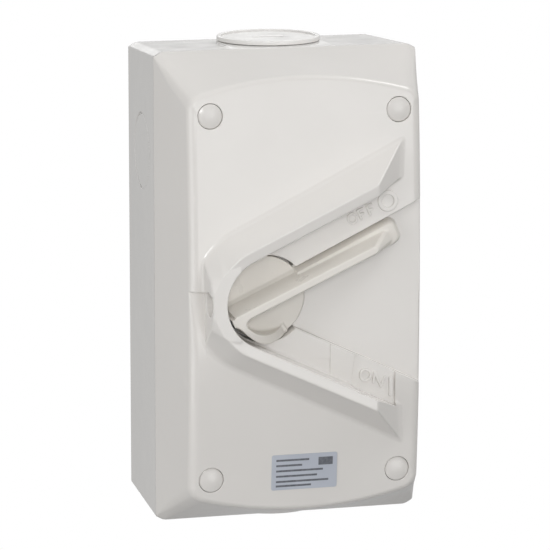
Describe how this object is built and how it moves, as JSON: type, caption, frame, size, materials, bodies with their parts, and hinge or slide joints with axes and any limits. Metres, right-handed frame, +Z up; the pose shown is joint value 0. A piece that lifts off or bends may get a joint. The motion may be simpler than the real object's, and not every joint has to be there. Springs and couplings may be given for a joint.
{
  "type": "rotary isolator switch",
  "caption": "Surface-mounted weatherproof rotary isolator: deep cover with a V-shaped lever guard and padlock hole, base with plugged conduit entries, and a stacked rotary contact mechanism.",
  "frame": {"origin": "middle of the flat back face, which rests on the wall", "axes": "+Z up, +Y into the wall, +X to the right of a person who faces the switch; the front faces -Y"},
  "size_m": [0.113, 0.1005, 0.2026],
  "materials": {
    "base_plastic": "light grey moulded plastic, fine satin texture",
    "cover_plastic": "light grey moulded plastic, smooth satin",
    "plug_plastic": "light grey moulded plastic, smooth satin",
    "cap_plastic": "light grey moulded plastic, a little glossier than the cover",
    "lever_plastic": "warm grey moulded plastic, satin",
    "seal_rubber": "black moulded rubber",
    "label_film": "pale blue-grey printed film, plain marks only",
    "zinc_steel": "zinc-plated steel",
    "terminal_steel": "nickel-plated steel",
    "mechanism_plastic": "black glass-filled plastic",
    "rotor_plastic": "mid-grey moulded plastic",
    "contact_metal": "silver-plated copper",
    "earth_brass": "plain drawn brass"
  },
  "bodies": {
    "enclosure": {"base_box": "base_plastic", "front_cover": "cover_plastic", "cover_gasket": "seal_rubber", "rating_label": "label_film", "conduit_plug_top": "plug_plastic", "conduit_plug_bottom": "plug_plastic", "plug_ring_top": "seal_rubber", "plug_ring_bottom": "seal_rubber", "cover_screw_top_left": "zinc_steel", "cover_screw_top_right": "zinc_steel", "cover_screw_bottom_left": "zinc_steel", "cover_screw_bottom_right": "zinc_steel", "screw_cap_top_left": "cap_plastic", "screw_cap_top_right": "cap_plastic", "screw_cap_bottom_left": "cap_plastic", "screw_cap_bottom_right": "cap_plastic", "shaft_seal": "seal_rubber", "switch_back_plate": "mechanism_plastic", "contact_deck_1": "mechanism_plastic", "contact_deck_2": "mechanism_plastic", "contact_deck_3": "mechanism_plastic", "fixed_contact_line_1": "contact_metal", "fixed_contact_load_1": "contact_metal", "fixed_contact_line_2": "contact_metal", "fixed_contact_load_2": "contact_metal", "fixed_contact_line_3": "contact_metal", "fixed_contact_load_3": "contact_metal", "terminal_screw_line_1": "terminal_steel", "terminal_screw_load_1": "terminal_steel", "terminal_screw_line_2": "terminal_steel", "terminal_screw_load_2": "terminal_steel", "terminal_screw_line_3": "terminal_steel", "terminal_screw_load_3": "terminal_steel", "detent_housing": "mechanism_plastic", "detent_spring_right": "zinc_steel", "detent_spring_left": "zinc_steel", "mounting_screw_top": "zinc_steel", "mounting_screw_bottom": "zinc_steel", "tie_screw_1": "zinc_steel", "tie_screw_2": "zinc_steel", "earth_bar": "earth_brass", "earth_screw_1": "terminal_steel", "earth_screw_2": "terminal_steel", "earth_screw_3": "terminal_steel"},
    "lever": {"operating_lever": "lever_plastic", "retaining_clip": "zinc_steel"},
    "rotor": {"drive_spindle": "zinc_steel", "contact_rotor_1": "rotor_plastic", "contact_rotor_2": "rotor_plastic", "contact_rotor_3": "rotor_plastic", "contact_bridge_1": "contact_metal", "contact_bridge_2": "contact_metal", "contact_bridge_3": "contact_metal", "detent_wheel": "rotor_plastic"},
    "plunger_right": {"detent_plunger_right": "earth_brass"},
    "plunger_left": {"detent_plunger_left": "earth_brass"}
  },
  "joints": [
    {"name": "lever_turn", "type": "hinge", "parent": "enclosure", "child": "lever", "pos_m": [-0.0175, -0.084, 0], "axis": [0, 1, 0], "range_deg": [0, 49]},
    {"name": "rotor_turn", "type": "hinge", "parent": "enclosure", "child": "rotor", "pos_m": [-0.0175, -0.04, 0], "axis": [0, 1, 0], "range_deg": [0, 49]},
    {"name": "plunger_right_slide", "type": "slide", "parent": "enclosure", "child": "plunger_right", "axis": [1, 0, 0], "range_m": [0, 0.001], "stiffness_N_per_m": 400, "springref_m": -0.002},
    {"name": "plunger_left_slide", "type": "slide", "parent": "enclosure", "child": "plunger_left", "axis": [-1, 0, 0], "range_m": [0, 0.001], "stiffness_N_per_m": 400, "springref_m": -0.002}
  ],
  "couplings": [
    {"joint": "rotor_turn", "follows": "lever_turn", "ratio": 1}
  ]
}
